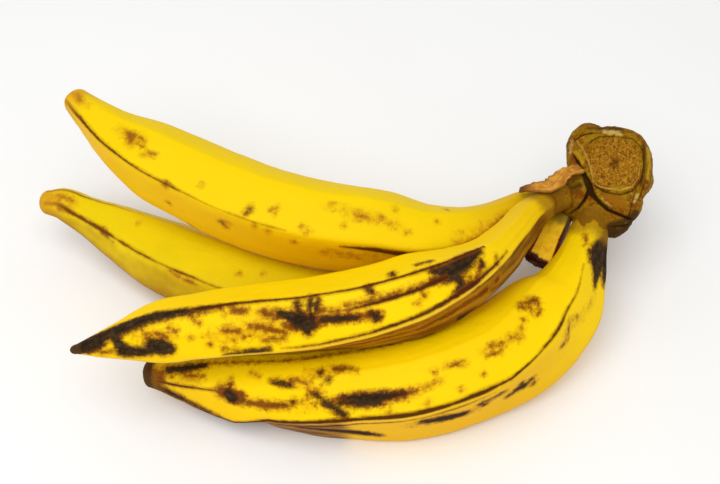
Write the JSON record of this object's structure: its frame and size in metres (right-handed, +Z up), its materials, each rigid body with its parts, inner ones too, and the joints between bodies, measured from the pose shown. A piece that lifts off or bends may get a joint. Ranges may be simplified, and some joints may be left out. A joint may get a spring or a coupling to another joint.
{
  "type": "plantain",
  "caption": "A hand of ripe plantains lying down, grown on a cut brown crown, with dark bruised skins",
  "frame": {"origin": "on the surface it rests on, at the middle of its footprint", "axes": "+Z up, X along the fruits with the crown at +X, -Y towards the front"},
  "size_m": [0.3625, 0.1863, 0.0971],
  "materials": {
    "yellow_skin": "waxy ripe fruit skin, bright yellow with small brown marks",
    "green_yellow_skin": "waxy fruit skin, yellow turning green",
    "bruised_skin": "waxy fruit skin, yellow with brown and charcoal bruises",
    "stub_skin": "cut neck, yellow skin with a dark dried end",
    "dry_bract": "dry papery orange-brown plant skin",
    "crown_skin": "dry woody skin with a rough ochre cut face"
  },
  "bodies": {
    "root": {"crown": "crown_skin", "plantain_top": "yellow_skin", "plantain_back": "green_yellow_skin", "plantain_middle": "bruised_skin", "plantain_front": "bruised_skin", "cut_stub": "stub_skin", "dried_bract": "dry_bract"}
  },
  "joints": []
}
